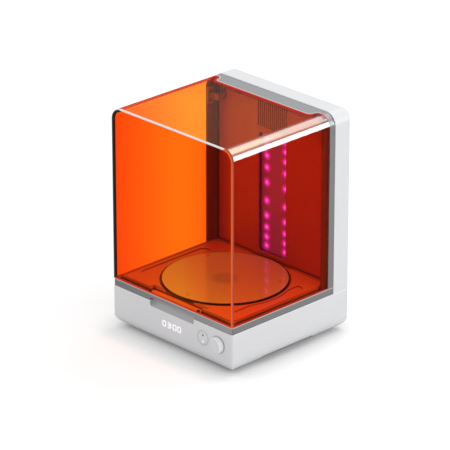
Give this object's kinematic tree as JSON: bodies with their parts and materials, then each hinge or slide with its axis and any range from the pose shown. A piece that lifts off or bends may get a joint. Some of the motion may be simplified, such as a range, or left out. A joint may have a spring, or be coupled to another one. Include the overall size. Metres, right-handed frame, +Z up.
{
  "type": "dental lab light curing unit",
  "caption": "Bench-top light curing unit with a hinged amber hood, a powered clear turntable, a rear lamp panel, a display, a push button and a knob.",
  "frame": {"origin": "on the surface the unit stands on, at the middle of the whole unit's outer box", "axes": "+X to the right seen from the front, +Y to the rear, +Z up"},
  "size_m": [0.268, 0.268, 0.3725],
  "materials": {
    "white_moulding": "fine satin, light grain",
    "white_control": "fine satin",
    "grey_plate": "fine satin",
    "rubber_black": "matt",
    "screw_steel": "turned",
    "chamber_moulding": "satin",
    "amber_sheet": "polished, transparent",
    "frame_grey": "satin",
    "lamp_pane": "clear",
    "board_green": "satin",
    "lamp_emitter": "lit",
    "sink_aluminium": "extruded",
    "black_plastic": "satin",
    "heater_brass": "satin",
    "hinge_steel": "satin",
    "disc_clear": "polished, transparent",
    "display_white": "lit",
    "case_steel": "satin"
  },
  "bodies": {
    "root": {"base_housing": "white_moulding", "bottom_plate": "grey_plate", "rubber_feet": "rubber_black", "base_screws": "screw_steel", "column_housing": "white_moulding", "rear_cover": "white_moulding", "rear_cover_screws": "screw_steel", "chamber_floor": "chamber_moulding", "base_magnets": "screw_steel", "rear_liner": "chamber_moulding", "lamp_window": "lamp_pane", "lamp_board": "board_green", "lamps": "lamp_emitter", "lamp_heatsink": "sink_aluminium", "blower_housing": "black_plastic", "heater_element": "heater_brass", "lid_sensor": "black_plastic", "hinge_mounts": "hinge_steel", "hinge_pins": "screw_steel", "hinge_torque_units": "hinge_steel", "gearmotor": "case_steel", "motor_bracket": "case_steel", "motor_screws": "screw_steel", "main_board": "board_green", "board_standoffs": "heater_brass", "display_module": "black_plastic", "display_digits": "display_white", "button_switch": "black_plastic", "encoder_body": "case_steel", "power_supply": "case_steel", "power_inlet": "black_plastic", "inlet_pins": "screw_steel", "inlet_screws": "screw_steel", "switch_frame": "black_plastic"},
    "lid": {"hood_canopy": "amber_sheet", "hood_front_panel": "amber_sheet", "lid_frame": "frame_grey", "lid_gasket": "rubber_black", "lid_magnets": "screw_steel", "lid_catches": "black_plastic", "hinge_arm_left": "hinge_steel", "hinge_arm_right": "hinge_steel", "hinge_arm_screws": "screw_steel"},
    "turntable": {"drive_spindle": "screw_steel", "turntable_hub": "chamber_moulding", "turntable_disc": "disc_clear", "turntable_studs": "disc_clear"},
    "blower": {"blower_rotor": "black_plastic"},
    "button": {"button_cap": "white_control"},
    "encoder": {"encoder_rotor": "white_control"},
    "knob": {"encoder_shaft": "screw_steel", "knob_cap": "white_control"},
    "rocker": {"switch_rocker": "black_plastic"}
  },
  "joints": [
    {"name": "lid_hinge", "type": "hinge", "parent": "root", "child": "lid", "pos_m": [0, 0.1162, 0.3635], "axis": [-1, 0, 0], "range_deg": [0, 80]},
    {"name": "table_spin", "type": "hinge", "parent": "root", "child": "turntable", "pos_m": [0, -0.0088, 0.08], "axis": [0, 0, 1], "continuous": true},
    {"name": "blower_spin", "type": "hinge", "parent": "root", "child": "blower", "pos_m": [0, 0.1165, 0.33], "axis": [0, 1, 0], "continuous": true},
    {"name": "button_press", "type": "slide", "parent": "root", "child": "button", "axis": [0, 1, 0], "range_m": [0, 0.0008], "stiffness_N_per_m": 900, "springref_m": -0.001},
    {"name": "knob_turn", "type": "hinge", "parent": "root", "child": "encoder", "pos_m": [0.1038, -0.12, 0.046], "axis": [0, 1, 0], "continuous": true},
    {"name": "knob_press", "type": "slide", "parent": "encoder", "child": "knob", "axis": [0, 1, 0], "range_m": [0, 0.0005], "stiffness_N_per_m": 1500, "springref_m": -0.001},
    {"name": "switch_rock", "type": "hinge", "parent": "root", "child": "rocker", "pos_m": [-0.04, 0.1298, 0.042], "axis": [-1, 0, 0], "range_deg": [0, 14]}
  ]
}
